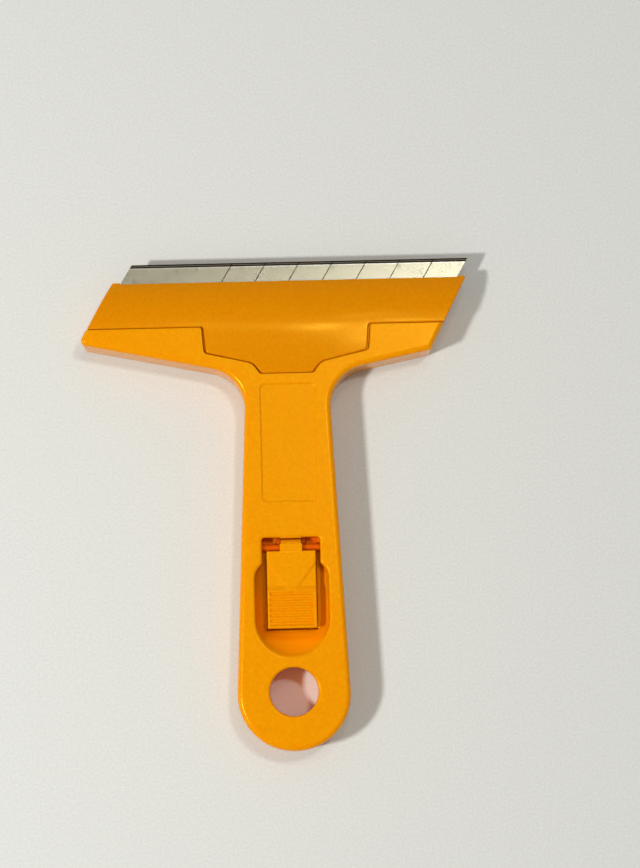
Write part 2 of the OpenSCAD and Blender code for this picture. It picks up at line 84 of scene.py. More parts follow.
ARM_LOW = ARM_TOP - 1.7
ARM_BACK_Y = 47.15
RIVET_Y = 50.75
POCKET_GAP = 0.15
MOUTH_GAP = 0.25
PEG = dict(x=5.5, back=8.694, r=BLADE["hole"] / 2 - POCKET_GAP)
PIN = (42.1, 12.1)
HUB_R = 2.45
NECK = dict(half=3.28, end=PIN[0] + 1.1)
SLOT = dict(half=8.4, low=PAD["low"] - 0.3, high=44.85, floor=3)
BLOCK = dict(low=7.2, start=7.1, past=1.4)
RAIL = dict(x=7.05, half=0.8, low=9.65, reach=2.2, start=51.15, end=92.0)
RAIL_LIP = dict(x=6.4, half=1.45, z=10.15, reach=0.5)
LATCH_RIB = ((-16, 34.1, 9.7), (16, 36.1, 11.0))
BRIDGE = dict(x=3.7, half=0.62, z=11.25, reach=0.27)
# Finish of the button's pad
GROOVE_Y = PAD["low"] + 0.485 * (PAD["high"] - PAD["low"])
RIBS = dict(depth=0.65, pitch=1.57, side=0.5, ramp=0.6)
CHEVRON = dict(down=3.3, foot=0.29, step=0.36, width=0.55)
# The dish is deeper than in the solids, as the photo's shading asks
DISH = dict(half=10.9, y=21.04, run=6.5, depth=6.4, top=37.5, wide=34.7, power=2.6)
DISH_LOW_END = dict(length=6.5, run=4.2, power=1.1)
SCREWS = [np.mean(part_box(f"back_screw_{i}"), axis=0)[:2] / MM for i in (1, 2, 3, 4)]

# Photograph: the camera's eye and the point at the middle of the frame, in millimetres
EYE = (0.15, -2.4, 780.0)
AIM = (9.46, 76.5, 0.0)
ROLL = math.radians(-1.4)
FOCAL_PX = 2623.1
FRAME_H_PX = 868


def unit(v):
    v = np.asarray(v, float)
    return v / np.linalg.norm(v)


def plane_z(y, w):
    """Height at y of the plane that lies w above the blade's middle plane."""
    return EDGE_Z + (REACH - y) * math.tan(TILT) + w / math.cos(TILT)


def left_x(y):
    return EDGE_X - BLADE_BACK - END_WALL - (EAR_Y - y) * SIDE_SLOPE


def right_x(y):
    return EDGE_X + BLADE["length"] - BLADE_BACK + END_WALL - (EAR_Y - y) * SIDE_SLOPE


def rounded(corners, step=math.radians(6)):
    """Points of a closed outline from its corners (x, y, radius), counter-clockwise."""
    points = []
    for i, (x, y, r) in enumerate(corners):
        b = np.array([x, y])
        if r == 0:
            points.append(b)
            continue
        a = np.array(corners[i - 1][:2])
        c = np.array(corners[(i + 1) % len(corners)][:2])
        u, v = unit(a - b), unit(c - b)
        half = math.acos(np.dot(u, v)) / 2
        centre = b + unit(u + v) * r / math.sin(half)
        start = b + u * r / math.tan(half) - centre
        cross = np.cross(b - a, c - b)
        sweep = math.copysign(math.pi - 2 * half, cross)
        count = max(1, math.ceil(abs(sweep) / step))
        for k in range(count + 1):
            t = math.atan2(start[1], start[0]) + sweep * k / count
            points.append(centre + r * np.array([math.cos(t), math.sin(t)]))
    return np.array(points)


def polygon_distance(points, x, y):
    """Signed distance to a closed outline, negative inside."""
    least = np.full(np.broadcast(x, y).shape, np.inf)
    sign = np.ones_like(least)
    for a, b in zip(points, np.roll(points, -1, 0)):
        e = b - a
        if np.dot(e, e) < 1e-12:
            continue
        wx, wy = x - a[0], y - a[1]
        t = np.clip((wx * e[0] + wy * e[1]) / np.dot(e, e), 0, 1)
        least = np.minimum(least, (wx - e[0] * t) ** 2 + (wy - e[1] * t) ** 2)
        above = y >= a[1]
        below = y < b[1]
        turn = e[0] * wy > e[1] * wx
        flip = (above & below & turn) | (~above & ~below & ~turn)
        sign = np.where(flip, -sign, sign)
    return sign * np.sqrt(least)


class Plan:
    """Distance to an outline seen from above, sampled once and then looked up."""

    def __init__(self, corners, cell=0.2, margin=3):
        points = rounded(corners)
        self.low = points.min(0) - margin
        self.cell = cell
        count = np.ceil((points.max(0) + margin - self.low) / cell).astype(int) + 1
        gx = self.low[0] + cell * np.arange(count[0])
        gy = self.low[1] + cell * np.arange(count[1])
        self.grid = polygon_distance(points, gx[:, None], gy[None, :])

    def __call__(self, x, y):
        x, y = np.broadcast_arrays(x, y)
        u = (x - self.low[0]) / self.cell
        v = (y - self.low[1]) / self.cell
        cu = np.clip(u, 0, self.grid.shape[0] - 1.001)
        cv = np.clip(v, 0, self.grid.shape[1] - 1.001)
        i, j = cu.astype(int), cv.astype(int)
        s, t = cu - i, cv - j
        g = self.grid
        this_row = g[i, j] * (1 - s) + g[i + 1, j] * s
        next_row = g[i, j + 1] * (1 - s) + g[i + 1, j + 1] * s
        return this_row * (1 - t) + next_row * t + self.cell * np.hypot(u - cu, v - cv)


def both(a, b, r=0.0):
    """Where both solids are, with its edge rounded by r."""
    if r == 0:
        return np.maximum(a, b)
    return np.minimum(-r, np.maximum(a, b)) + np.hypot(np.maximum(a + r, 0), np.maximum(b + r, 0))


def either(a, b, r=0.0):
    """Where one of the solids is, with the inner corner rounded by r."""
    return -both(-a, -b, r)


def less(a, b, r=0.0):
    return both(a, -b, r)


def block(x, y, z, low, high, r=0.0):
    fields = []
    for v, a, b in zip((x, y, z), low, high):
        fields.append(np.maximum(a - v, v - b))
    return both(both(fields[0], fields[1], r), fields[2], r)


SHELL_END = 0.521 * GRIP_W
GRIP_TAPER = (GRIP_W - NECK_W) / 2 / WING_Y
END_HALF = GRIP_W / 2 + GRIP_TAPER * SHELL_END
END_R = END_HALF * math.tan(math.radians(45) - math.atan(GRIP_TAPER) / 2) - 0.02
CORNER_RUN = SIDE_SLOPE * (SEAM_Y - WING_Y + WING_SLOPE * NECK_W / 2)
LEFT_CORNER = -(LEFT_STEP - left_x(SEAM_Y) + CORNER_RUN) / (1 + SIDE_SLOPE * WING_SLOPE)
RIGHT_CORNER = (right_x(SEAM_Y) - CORNER_RUN) / (1 - SIDE_SLOPE * WING_SLOPE)


def wing_y(x):
    return WING_Y + WING_SLOPE * (abs(x) - NECK_W / 2)


def shell_corners():
    return [
        (-END_HALF, -SHELL_END, END_R),
        (END_HALF, -SHELL_END, END_R),
        (NECK_W / 2, WING_Y, NECK_R),
        (RIGHT_CORNER, wing_y(RIGHT_CORNER), 0.8),
        (right_x(BED_LIP_Y), BED_LIP_Y, 0),
        (left_x(BED_LIP_Y) - LEFT_STEP, BED_LIP_Y, 0),
        (LEFT_CORNER, wing_y(LEFT_CORNER), 1.6),
        (-NECK_W / 2, WING_Y, NECK_R)]


def head_corners(side=0.0, end=0.0, curve=0.0, past=0.0):
    """The head's outline, drawn in at its sides, end and curve, or carried past its open edges."""
    waist = WAIST_W / 2
    out_x = 0.205 * WAIST_W - curve / 2
    tongue = 0.159 * WAIST_W - curve
    return [
        (right_x(EAR_Y + past) + past, EAR_Y + past, 0.6),
        (left_x(EAR_Y + past) - past, EAR_Y + past, 0.6),
        (left_x(SEAM_Y + end) - past, SEAM_Y + end, 0),
        (-waist + side, SEAM_Y + end, 0.7),
        (-waist + 0.6 + side, STEP_Y + end, 1.2),
        (-out_x, CURVE_Y + end, 4),
        (-tongue, TONGUE_Y + end, 0.8),
        (tongue, TONGUE_Y + end, 0.8),
        (out_x, CURVE_Y + end, 4),
        (waist - 0.6 - side, STEP_Y + end, 1.2),
        (waist - side, SEAM_Y + end, 0.7),
        (right_x(SEAM_Y + end) + past, SEAM_Y + end, 0)]


def rectangle(half, low, high, r):
    return [(-half, low, r), (half, low, r), (half, high, r), (-half, high, r)]


def in_blade_plane(x, y, z):
    """Place along the slanted blade, distance behind its edge, and height over its middle."""
    dy, dz = y - REACH, z - EDGE_Z
    v = -dy * math.cos(TILT) + dz * math.sin(TILT)
    w = dy * math.sin(TILT) + dz * math.cos(TILT)
    return x - EDGE_X + v * math.tan(SLANT), v, w


def blade_ends(s, gap):
    """Distance past the blade's slanted ends, with a gap added to each."""
    return np.maximum(-(s + gap) * math.cos(SLANT), (s - BLADE["length"] - gap) * math.cos(SLANT))


shell_plan = Plan(shell_corners())
opening_plan = Plan(head_corners(past=1))
head_plan = Plan(head_corners(side=0.6, end=0.15, curve=0.5))
foot_plan = Plan(head_corners(side=0.12, end=0.06, curve=0.12))
slot_plan = Plan(rectangle(SLOT["half"], SLOT["low"], SLOT["high"], 0.9))
panel_plan = Plan(rectangle(8.05, 55.4, 90.2, 1.5))
dish_plan = Plan([
    (-DISH["half"], DISH["y"] - DISH["half"], DISH["half"] - 0.02),
    (DISH["half"], DISH["y"] - DISH["half"], DISH["half"] - 0.02),
    (DISH["half"], DISH["wide"], 6),
    (SLOT["half"], DISH["top"], 0.9),
    (SLOT["half"], SLOT["high"], 0.9),
    (-SLOT["half"], SLOT["high"], 0.9),
    (-SLOT["half"], DISH["top"], 0.9),
    (-DISH["half"], DISH["wide"], 6)])

SLOPE_Y = BED_LIP_Y - 0.77 * HEAD
SLOPE_RISE = plane_z(BED_LIP_Y, BED_W) - 0.4
SLOPE = math.atan2(SLOPE_RISE, BED_LIP_Y - SLOPE_Y)


def shell(x, y, z):
    """The handle with its wings, dish, slot, bed and hollow inside."""
    plan = shell_plan(x, y)
    panel = 0.3 * np.clip(0.5 - panel_plan(x, y) / 0.5, 0, 1)
    body = both(plan, z - THICK + panel, EDGE_R)
    body = both(body, -z, 0.3)
    slope = (y - SLOPE_Y) * math.sin(SLOPE) - z * math.cos(SLOPE)
    body = both(body, slope, 0.4)
    ring = np.hypot(x, y)
    # The hollow, open at the back under the plate
    front = np.maximum(y - SEAM_Y + WALL, z - FRONT_IN)
    under_bed = np.maximum(SEAM_Y - WALL - y, z - plane_z(y, BED_W - WALL))
    hollow = both(plan + WALL, np.minimum(front, under_bed))
    hollow = both(hollow, np.maximum(slope + WALL, 1.9 - z))
    # Solid round the slot
    along = np.maximum(BLOCK["start"] - y, y - SLOT["high"] - BLOCK["past"])
    hollow = less(hollow, np.maximum(along, BLOCK["low"] - z))
    seat = both(np.maximum(plan + 1.2, z - WALL), y - SLOPE_Y - 0.1)
    tube = ring - HOLE_R - WALL
    body = less(body, less(np.minimum(hollow, seat), tube), 0.12)
    # The rib that the leaf hooks behind, and the rails that the arm runs along
    rib = block(x, y, z, *LATCH_RIB, 0.15)
    body = np.minimum(body, both(rib, plan + 1))
    rails = np.abs(z - RAIL["low"] - RAIL["reach"]) - RAIL["reach"]
    rails = np.maximum(rails, np.abs(np.abs(x) - RAIL["x"]) - RAIL["half"])
    lips = np.abs(np.abs(x) - RAIL_LIP["x"]) - RAIL_LIP["half"]
    lips = np.maximum(np.abs(z - RAIL_LIP["z"]) - RAIL_LIP["reach"], lips)
    ends = np.maximum(RAIL["start"] - y, y - RAIL["end"])
    body = np.minimum(body, np.maximum(np.minimum(rails, lips), ends))
    for sx, sy in SCREWS:
        boss = np.hypot(x - sx, y - sy) - 2.5
        body = np.minimum(body, np.maximum(boss, np.maximum(WALL - z, z - FRONT_IN - 1)))
    # Bed and opening of the head
    over_bed = (plane_z(y, BED_W) - z) * math.cos(TILT)
    opening = opening_plan(x, y)
    waist = np.maximum(np.abs(x) - WAIST_W / 2, ARM_LOW - 0.25 - z)
    head = np.maximum(opening, np.minimum(over_bed, waist))
    edge_line = (left_x(y) - x) / math.hypot(1, SIDE_SLOPE)
    head = np.minimum(head, np.maximum(-edge_line, SEAM_Y - y))
    body = less(body, head, 0.3)
    way = block(x, y, z, (-4.25, TONGUE_Y, 8.75), (4.25, REACH, THICK + 1))
    way = np.minimum(way, block(x, y, z, (-4.25, 43.85, 8.75), (4.25, 47.25, 10.95)))
    body = less(body, way)
    # Dish, slot and hanging hole: the dish is steep at its sides and shallows towards its low end
    rho = np.where(y > DISH["y"], np.abs(x), np.hypot(x, y - DISH["y"]))
    low_end = np.clip((DISH["y"] - y) / DISH_LOW_END["length"], 0, 1)
    low_end = low_end ** 2 * (3 - 2 * low_end)
    run = DISH["run"] + DISH_LOW_END["run"] * low_end
    power = DISH["power"] - DISH_LOW_END["power"] * low_end
    across = np.maximum(rho - DISH["half"] + run, 0) / run
    down = np.maximum(THICK + 0.2 - z, 0) / DISH["depth"]
    bowl = ((across ** power + down ** power) ** (1 / power) - 1) * DISH["depth"]
    dish = both(dish_plan(x, y), bowl, 0.5)
    slot = np.maximum(slot_plan(x, y), SLOT["floor"] - z)
    # A narrow lip at the slot's high end closes the view past the hub
    lip = block(x, y, z, (-3.2, SLOT["high"] - 0.19, 12.4), (3.2, SLOT["high"] + 2, THICK + 1))
    body = less(body, less(either(dish, slot, 0.25), lip), 1.0)
    # Ledges beside the pad and past the axle close the view down the gaps
    within = np.maximum(slot_plan(x, y) - 0.3, BLOCK["low"] - z)
    ledges = np.maximum(PAD["half"] + 0.2 - np.abs(x), z - 9.4)
    past_axle = np.maximum(4.3 - np.abs(x), PAD["high"] - y)
    ledges = np.minimum(ledges, np.maximum(past_axle, z - 9.6))
    bridge = np.abs(np.abs(x) - BRIDGE["x"]) - BRIDGE["half"]
    bridge = np.maximum(bridge, np.abs(z - BRIDGE["z"]) - BRIDGE["reach"])
    bridge = np.maximum(bridge, NECK["end"] - y)
    body = np.minimum(body, np.maximum(within, np.minimum(ledges, bridge)))
    return less(body, ring - HOLE_R, 0.7)


SEAM_DEPTH = 0.9
TONGUE_FALL = 0.5
CROWN_RUN = LIP_Y - CROWN_Y
CROWN_DROP = THICK - plane_z(LIP_Y, BLADE_HALF) - LIP_T
CROWN_POWER = 2.6
SINK = dict(depth=0.5, crest=11, left=34, right=21)


def cover(x, y, z):
    """The head that holds the blade down, with the arm that runs into the handle."""
    t = np.maximum(y - CROWN_Y, 0) / CROWN_RUN
    lean = CROWN_DROP * CROWN_POWER / CROWN_RUN * np.minimum(t, 1.2) ** (CROWN_POWER - 1)
    arc = (z - THICK + CROWN_DROP * t ** CROWN_POWER) / np.sqrt(1 + lean ** 2)
    ear = (z - plane_z(y, BLADE_HALF) - LIP_T) * math.cos(TILT)
    fall = TONGUE_FALL * ((CROWN_Y - y) / (CROWN_Y - TONGUE_Y)) ** 2
    # The moulding has sunk a little on both sides of its highest place
    away = (x - SINK["crest"]) / np.where(x < SINK["crest"], SINK["left"], SINK["right"])
    sink = SINK["depth"] * (0.5 - 0.5 * np.cos(np.clip(away, -2, 2) * math.pi))
    crown = np.minimum(arc + sink * (1 - np.minimum(t, 1)), ear)
    top = np.where(y > CROWN_Y, crown, z - THICK + fall + sink)
    low = np.minimum(ARM_LOW - z, (plane_z(y, -BLADE_HALF) - z) * math.cos(TILT))
    body = both(head_plan(x, y), top, 0.4)
    body = np.minimum(body, np.maximum(foot_plan(x, y), top + SEAM_DEPTH))
    body = both(body, low, 0.1)
    arm = block(x, y, z, (-6, ARM_BACK_Y, ARM_LOW), (6, TONGUE_Y + 5, ARM_TOP), 0.3)
    body = np.minimum(body, arm)
    # The blade's pocket, open at the front, with the peg through its hole
    s, v, w = in_blade_plane(x, y, z)
    pocket = np.maximum(blade_ends(s, POCKET_GAP), v - BLADE["width"] - POCKET_GAP)
    pocket = np.maximum(pocket, np.abs(w + POCKET_GAP) - BLADE_HALF - POCKET_GAP)
    mouth = np.maximum(blade_ends(s, MOUTH_GAP), v - BLADE["show"] / math.cos(TILT))
    mouth = np.maximum(mouth, -2 * BLADE_HALF - w)
    body = less(body, np.minimum(pocket, mouth), 0.15)
    peg = np.hypot(x - EDGE_X - PEG["x"], v - PEG["back"]) - PEG["r"]
    body = np.minimum(body, both(peg, np.abs(w - 0.1) - 0.35, 0.1))
    from_rivet = np.hypot(x, y - RIVET_Y)
    rivet = np.minimum(from_rivet - 1.22, np.maximum(from_rivet - 2.02, 12.1 - z))
    return less(body, rivet)


def button(x, y, z):
    """The ribbed pad with its neck and the hub that turns on the axle."""
    half = PAD["half"]
    # Upper face lowered, its flanks beyond the chevron a little more, then a slope up to the ribs
    slope = 1.3
    rise = np.clip((GROOVE_Y + slope - y) / slope, 0, 1)
    a = np.array([half, PAD["high"] - CHEVRON["down"]])
    along = unit(np.array([CHEVRON["foot"] * half, GROOVE_Y + slope]) - a)
    beyond = (y - a[1]) * along[0] - (np.abs(x) - a[0]) * along[1]
    upper = 0.42 + CHEVRON["step"] * np.clip(beyond / CHEVRON["width"] + 0.5, 0, 1)
    first_rib = GROOVE_Y - 0.1
    ribs = RIBS["depth"] * (0.5 - 0.5 * np.cos((first_rib - y) / RIBS["pitch"] * 2 * math.pi))
    ribs = np.where((y < first_rib) & (y > PAD["low"] + 0.7), ribs, 0)
    ribs = ribs * np.clip((half - RIBS["side"] - np.abs(x)) / RIBS["ramp"], 0, 1)
    sunk = upper * (1 - rise) + ribs * rise
    middle, reach = (PAD["low"] + PAD["high"]) / 2, (PAD["high"] - PAD["low"]) / 2
    pad = np.maximum(np.abs(x) - half, np.abs(y - middle) - reach)
    # The underside clears the leaf when the button is pressed, because the leaf is drawn unbent
    low = np.where(y < 28.6, 11.4, 13.0)
    body = both(pad, z - THICK + sunk, 0.5)
    body = both(body, low - z, 0.2)
    low_corner = (-NECK["half"], PAD["high"] - 1, PIN[1])
    high_corner = (NECK["half"], NECK["end"], PIN[1] + HUB_R)
    neck = block(x, y, z, low_corner, high_corner, 0.2)
    from_pin = np.hypot(y - PIN[0], z - PIN[1])
    hub = both(from_pin - HUB_R, np.abs(x) - 3.0, 0.25)
    body = either(body, np.minimum(neck, hub), 0.12)
    return less(body, from_pin - 1.0)


def gradient(field, p, h):
    """Slope of a field at points, by central differences."""
    g = np.empty_like(p)
    for k in range(3):
        step = np.zeros(3)
        step[k] = h
        a, b = p + step, p - step
        g[:, k] = (field(*a.T) - field(*b.T)) / (2 * h)
    return g


CORNERS = [(i, j, k) for i in (0, 1) for j in (0, 1) for k in (0, 1)]
# Two corners share an edge when their numbers differ in one bit
CELL_EDGES = [(a, b) for a in range(8) for b in range(a + 1, 8) if a ^ b in (1, 2, 4)]


def surface(field, low, high, cell):
    """Quads on a field's zero surface, with one point to each crossed cell."""
    low = np.array(low, float) - 0.37 * cell
    count = np.ceil((np.array(high) - low) / cell).astype(int) + 2
    axes = [low[k] + cell * np.arange(count[k]) for k in range(3)]
    f = field(*np.meshgrid(*axes, indexing="ij", sparse=True)).astype(np.float32)
    inside = f < 0
    n = [c - 1 for c in count]
    total = np.zeros(n, np.int8)
    for i, j, k in CORNERS:
        total += inside[i:i + n[0], j:j + n[1], k:k + n[2]]
    cells = np.argwhere((total > 0) & (total < 8))
    index = np.full(n, -1, np.int32)
    index[tuple(cells.T)] = np.arange(len(cells))
    values = np.stack([f[tuple((cells + c).T)] for c in CORNERS], 1)
    points = np.zeros((len(cells), 3))
    hits = np.zeros(len(cells))
    for a, b in CELL_EDGES:
        va, vb = values[:, a], values[:, b]
        cross = (va < 0) != (vb < 0)
        t = np.where(cross, va / np.where(cross, va - vb, 1), 0)
        at = np.array(CORNERS[a]) + t[:, None] * np.subtract(CORNERS[b], CORNERS[a])
        points += np.where(cross[:, None], at, 0)
        hits += cross
    points = low + cell * (cells + points / hits[:, None])
    faces = []
    for axis in range(3):
        u, v = (axis + 1) % 3, (axis + 2) % 3
        first = [slice(None)] * 3
        second = [slice(None)] * 3
        first[axis] = slice(0, -1)
        second[axis] = slice(1, None)
        a, b = inside[tuple(first)], inside[tuple(second)]
        at = np.argwhere(a != b)
        keep = (at[:, u] > 0) & (at[:, v] > 0) & (at[:, u] < n[u]) & (at[:, v] < n[v])
        at = at[keep]
        out = a[tuple(at.T)]
        quad = []
        for du, dv in ((1, 1), (0, 1), (0, 0), (1, 0)):
            c = at.copy()
            c[:, u] -= du
            c[:, v] -= dv
            quad.append(index[tuple(c.T)])
        quad = np.stack(quad, 1)
        faces.append(np.where(out[:, None], quad, quad[:, ::-1]))
    faces = np.concatenate(faces)
    # Three short steps down the slope bring the points onto the surface
    for _ in range(3):
        d = field(*points.T)
        g = gradient(field, points, 0.02)
        step = -(d / np.maximum((g * g).sum(1), 0.3))[:, None] * g
        points = points + np.clip(step, -0.4 * cell, 0.4 * cell)
    return points, faces


def piece(name, field, low, high, cell):
    """A Blender object from a field, with its normals taken from the field."""
    points, faces = surface(field, low, high, cell)
    mesh = bpy.data.meshes.new(name)
    mesh.from_pydata((points * MM).tolist(), [], faces.tolist())
    normals = gradient(field, points, 0.03)
    normals /= np.maximum(np.linalg.norm(normals, axis=1), 1e-9)[:, None]
    mesh.polygons.foreach_set("use_smooth", np.ones(len(mesh.polygons), bool))
    mesh.normals_split_custom_set_from_vertices(normals.tolist())
    mesh.update()
    obj = bpy.data.objects.new(name, mesh)
    bpy.context.scene.collection.objects.link(obj)
    return obj


def srgb(r, g, b):
    """A colour as it looks on screen, from 0 to 255, in linear light."""
    linear = []
    for v in (r, g, b):
        linear.append(v / 255 / 12.92 if v <= 10.3 else ((v / 255 + 0.055) / 1.055) ** 2.4)
    return linear + [1]


def material(name, colour, roughness, metallic=0.0, **sockets):
    mat = bpy.data.materials.new(name)
    mat.use_nodes = True
    shader = mat.node_tree.nodes["Principled BSDF"]
    shader.inputs["Base Color"].default_value = colour
    shader.inputs["Roughness"].default_value = roughness
    shader.inputs["Metallic"].default_value = metallic
    for key, value in sockets.items():
        shader.inputs[key.replace("_", " ")].default_value = value
    return mat, mat.node_tree, shader


def noise(tree, scale, detail=2.0, stretch=(1, 1, 1)):
    """Noise in the object's own millimetres, so many lumps to the millimetre."""
    place = tree.nodes.new("ShaderNodeTexCoord")
    size = tree.nodes.new("ShaderNodeMapping")
    size.inputs["Scale"].default_value = [v / MM for v in stretch]
    tex = tree.nodes.new("ShaderNodeTexNoise")
    tex.inputs["Scale"].default_value = scale
    tex.inputs["Detail"].default_value = detail
    tree.links.new(place.outputs["Object"], size.inputs["Vector"])
    tree.links.new(size.outputs["Vector"], tex.inputs["Vector"])
    return tex.outputs["Fac"]


def ramp(tree, value, stops):
    node = tree.nodes.new("ShaderNodeValToRGB")
    elements = node.color_ramp.elements
    elements[0].position, elements[0].color = stops[0]
    elements[1].position, elements[1].color = stops[-1]
    for position, colour in stops[1:-1]:
        elements.new(position).color = colour
    tree.links.new(value, node.inputs["Fac"])
    return node.outputs["Color"]


def grey(v):
    return [v, v, v, 1]


def bump(tree, shader, height, strength, distance, under=None):
    node = tree.nodes.new("ShaderNodeBump")
    node.inputs["Strength"].default_value = strength
    node.inputs["Distance"].default_value = distance * MM
    tree.links.new(height, node.inputs["Height"])
    if under:
        tree.links.new(under, node.inputs["Normal"])
    tree.links.new(node.outputs["Normal"], shader.inputs["Normal"])
    return node.outputs["Normal"]


def plastic(name, colour, grain, roughness, gloss, handle=False):
    """Orange polypropylene: a fine moulded grain, slow waves of the wall and faint speckle; for the
    handle also painted shade on the sunk walls round the button.
    """
    mat, tree, shader = material(name, srgb(*colour), roughness, Specular_IOR_Level=gloss)
    shader.inputs["Specular Tint"].default_value = srgb(255, 206, 66)
    shader.inputs["Subsurface Weight"].default_value = 0.6
    shader.inputs["Subsurface Radius"].default_value = (1.0, 0.12, 0.02)
    shader.inputs["Subsurface Scale"].default_value = 1.8 * MM
    dark = srgb(*[v - 4 for v in colour[:2]], 0)
    pale = srgb(colour[0] + 3, colour[1] + 4, 2)
    tint = ramp(tree, noise(tree, 1.1, 4), [(0.32, dark), (0.68, pale)])
    at = own_place(tree)
    if handle:
        # Painted shade: walls sunk round the button are painted a purer, redder orange as the glow
        # of shaded hollows, redder still past the axle, and above z 10.9 past the axle they are
        # painted darker as shade
        cavity_shade = maths(tree, "SUBTRACT", (THICK - 0.6) * MM, at["Z"])
        cavity_shade = limited(tree, maths(tree, "DIVIDE", cavity_shade, 1.5 * MM), 0)
        inner = maths(tree, "LESS_THAN", maths(tree, "ABSOLUTE", at["X"]), 11.5 * MM)
        before = maths(tree, "LESS_THAN", at["Y"], (SLOT["high"] + 0.8) * MM)
        cavity_shade = maths(tree, "MULTIPLY", cavity_shade, maths(tree, "MULTIPLY", inner, before))
        tint = blend(tree, cavity_shade, tint, srgb(255, 150, 2))
        past = maths(tree, "GREATER_THAN", at["Y"], (PIN[0] + 0.9) * MM)
        past = maths(tree, "MULTIPLY", cavity_shade, past)
        tint = blend(tree, past, tint, srgb(255, 118, 6))
        high = maths(tree, "GREATER_THAN", at["Z"], 10.9 * MM)
        tint = blend(tree, maths(tree, "MULTIPLY", past, high), tint, srgb(200, 78, 5))
    tree.links.new(tint, shader.inputs["Base Color"])
    smooth, dull = grey(roughness - 0.04), grey(roughness + 0.05)
    rough = ramp(tree, noise(tree, 1.6, 4), [(0.3, smooth), (0.75, dull)])
    tree.links.new(rough, shader.inputs["Roughness"])
    waves = bump(tree, shader, noise(tree, 0.12, 1), 0.2, 0.05)
    # The grain is strong on the grip and weaker towards the wings
    fade = maths(tree, "SUBTRACT", WING_Y * MM, at["Y"])
    fade = limited(tree, maths(tree, "DIVIDE", fade, 30 * MM), 0.3)
    bump(tree, shader, maths(tree, "MULTIPLY", noise(tree, 1.8, 3), fade), grain, 0.07, waves)
    return mat


def steel(name, colour, roughness, stretch):
    """Ground steel: fine lines along the grinding, with roughness and tone that follow them."""
    mat, tree, shader = material(name, colour, roughness, 1.0)
    lines = noise(tree, 1.0, 4, stretch)
    tone = ramp(tree, lines, [(0.25, [c * 0.8 for c in colour[:3]] + [1]), (0.75, colour)])
    tree.links.new(tone, shader.inputs["Base Color"])
    smooth, dull = grey(roughness - 0.08), grey(roughness + 0.12)
    rough = ramp(tree, noise(tree, 0.25, 4), [(0.3, smooth), (0.8, dull)])
    tree.links.new(rough, shader.inputs["Roughness"])
    bump(tree, shader, lines, 0.15, 0.02)
    return mat


def maths(tree, operation, *values):
    """A chain link of arithmetic: each value is a number or another node's output."""
    node = tree.nodes.new("ShaderNodeMath")
    node.operation = operation
    for socket, value in zip(node.inputs, values):
        if isinstance(value, (int, float)):
            socket.default_value = value
        else:
            tree.links.new(value, socket)
    return node.outputs["Value"]


def limited(tree, value, low):
    """A value kept between low and 1."""
    return maths(tree, "MINIMUM", 1, maths(tree, "MAXIMUM", low, value))


def own_place(tree):
    """X, Y and Z of the point in the object's own frame, in metres."""
    place = tree.nodes.new("ShaderNodeTexCoord")
    parts = tree.nodes.new("ShaderNodeSeparateXYZ")
    tree.links.new(place.outputs["Object"], parts.inputs["Vector"])
    return parts.outputs


# The Mix node's colour sockets, whose names its other sockets share
MIX_A, MIX_B, MIX_RESULT = 6, 7, 2


def multiply(tree, a, b):
    """Two colours multiplied."""
    mix = tree.nodes.new("ShaderNodeMix")
    mix.data_type = "RGBA"
    mix.blend_type = "MULTIPLY"
    mix.inputs["Factor"].default_value = 1.0
    tree.links.new(a, mix.inputs[MIX_A])
    tree.links.new(b, mix.inputs[MIX_B])
    return mix.outputs[MIX_RESULT]


def blend(tree, share, a, colour):
    """Colour a, with this share of another colour over it."""
    mix = tree.nodes.new("ShaderNodeMix")
    mix.data_type = "RGBA"
    tree.links.new(share, mix.inputs["Factor"])
    tree.links.new(a, mix.inputs[MIX_A])
    mix.inputs[MIX_B].default_value = colour
    return mix.outputs[MIX_RESULT]


